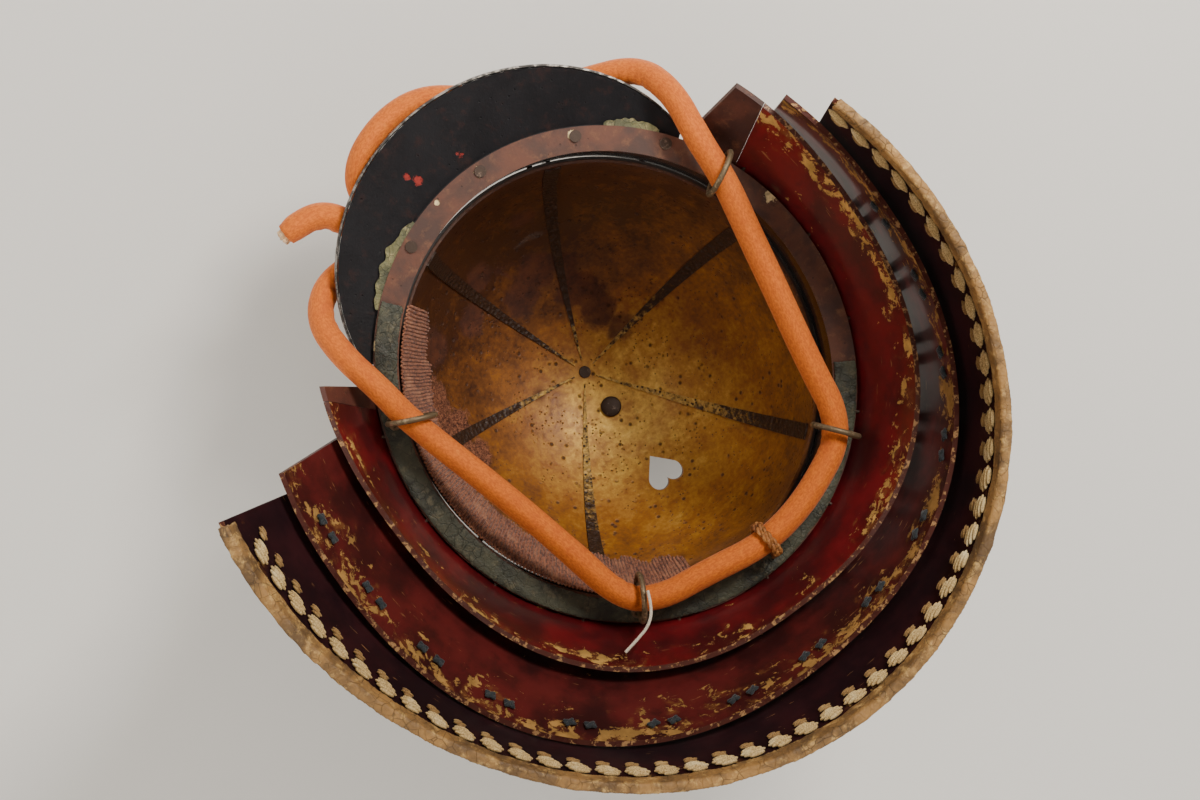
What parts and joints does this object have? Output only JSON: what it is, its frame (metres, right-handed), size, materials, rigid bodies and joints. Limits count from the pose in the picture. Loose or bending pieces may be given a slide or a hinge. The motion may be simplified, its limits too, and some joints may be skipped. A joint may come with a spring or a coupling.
{
  "type": "firefighter helmet",
  "caption": "Lacquered fire helmet with a six-plate gilded bowl, front visor, three-lame laced neck guard, liner remains and a padded chin cord in rings.",
  "frame": {"origin": "centre of the head opening, level with the underside of the neck band's flange, where the helmet sits on a head", "axes": "+Z towards the crown, -Y towards the front (visor), +X towards the wearer's left"},
  "size_m": [0.32, 0.3267, 0.2273],
  "materials": {
    "gilded_bowl": "worn gilding over brown lacquer on a moulded plate",
    "black_lacquer": "black lacquer",
    "seam_lacquer": "pitted lacquered cloth",
    "dark_iron": "dark iron with a brown patina",
    "rust_lacquer": "rust-brown lacquer, rubbed",
    "green_leather": "grey-green patinated leather",
    "liner_cloth": "frayed red-brown hemp cloth",
    "visor_lacquer": "blue-black lacquer with chips",
    "visor_edge_metal": "thin worn edge",
    "red_lacquer": "glossy red lacquer with gold leaf flakes",
    "brown_leather": "plain brown lacquered leather",
    "maroon_lacquer": "maroon lacquer, rubbed gold",
    "dark_maroon_lacquer": "dark maroon lacquer",
    "indigo_lace": "indigo braided lace",
    "tan_leather": "worn tan leather",
    "cream_stitch": "thick cream thread",
    "ring_bronze": "bronze with a dark patina",
    "thong_leather": "twisted leather thong",
    "orange_crepe": "orange crepe tube, padded",
    "white_string": "thin cotton string"
  },
  "bodies": {
    "helmet": {"bowl_plate_back": "gilded_bowl", "bowl_plate_back_left": "gilded_bowl", "bowl_plate_back_right": "gilded_bowl", "bowl_plate_front": "gilded_bowl", "bowl_plate_front_left": "gilded_bowl", "bowl_plate_front_right": "gilded_bowl", "bowl_rib_1": "black_lacquer", "bowl_rib_2": "black_lacquer", "bowl_rib_3": "black_lacquer", "bowl_rib_4": "black_lacquer", "bowl_rib_5": "black_lacquer", "bowl_rib_6": "black_lacquer", "chin_cord": "orange_crepe", "crown_cap": "dark_iron", "crown_plug": "dark_iron", "crown_washer": "dark_iron", "lame_1": "red_lacquer", "lame_1_left_end": "brown_leather", "lame_1_right_end": "brown_leather", "lame_1_rivets": "dark_iron", "liner_cloth": "liner_cloth", "liner_edge_band": "green_leather", "neck_band": "rust_lacquer", "neck_band_rivets": "dark_iron", "ring_eye_back_left": "ring_bronze", "ring_eye_back_right": "ring_bronze", "ring_eye_front_left": "ring_bronze", "ring_eye_front_right": "ring_bronze", "seam_strip_1": "seam_lacquer", "seam_strip_2": "seam_lacquer", "seam_strip_3": "seam_lacquer", "seam_strip_4": "seam_lacquer", "seam_strip_5": "seam_lacquer", "seam_strip_6": "seam_lacquer", "thong_loop": "thong_leather", "visor": "visor_lacquer", "visor_edge": "visor_edge_metal", "visor_rivets": "dark_iron"},
    "lame_2": {"lame_2": "maroon_lacquer", "lame_2_knots": "indigo_lace", "laces_upper": "indigo_lace"},
    "lame_3": {"lame_3": "dark_maroon_lacquer", "lame_3_binding": "tan_leather", "lame_3_large_stitches": "cream_stitch", "lame_3_small_stitches": "cream_stitch", "laces_lower": "indigo_lace"},
    "ring_front_right": {"cord_ring_front_right": "ring_bronze"},
    "ring_back_right": {"cord_ring_back_right": "ring_bronze", "ring_tie": "white_string"},
    "ring_back_left": {"cord_ring_back_left": "ring_bronze"},
    "ring_front_left": {"cord_ring_front_left": "ring_bronze"}
  },
  "joints": [
    {"name": "lame_2_lift", "type": "slide", "parent": "helmet", "child": "lame_2", "axis": [0, 0, 1], "range_m": [0, 0.014], "deforming": ["laces_upper"]},
    {"name": "lame_3_lift", "type": "slide", "parent": "lame_2", "child": "lame_3", "axis": [0, 0, 1], "range_m": [0, 0.012], "deforming": ["laces_lower"]},
    {"name": "ring_front_right_swing", "type": "hinge", "parent": "helmet", "child": "ring_front_right", "pos_m": [-0.09339, -0.04355, -0.0069], "axis": [-0.6409, -0.2988, -0.7071], "range_deg": [-6, 6]},
    {"name": "ring_back_right_swing", "type": "hinge", "parent": "helmet", "child": "ring_back_right", "pos_m": [-0.05648, 0.09039, -0.0069], "axis": [-0.3812, 0.61, -0.6947], "range_deg": [-12, 12]},
    {"name": "ring_back_left_swing", "type": "hinge", "parent": "helmet", "child": "ring_back_left", "pos_m": [0.06658, 0.08222, -0.0069], "axis": [0.4959, 0.6124, -0.6157], "range_deg": [-12, 12]},
    {"name": "ring_front_left_swing", "type": "hinge", "parent": "helmet", "child": "ring_front_left", "pos_m": [0.09121, -0.0485, -0.0069], "axis": [0.8187, -0.4353, -0.3746], "range_deg": [-14, 4]}
  ]
}
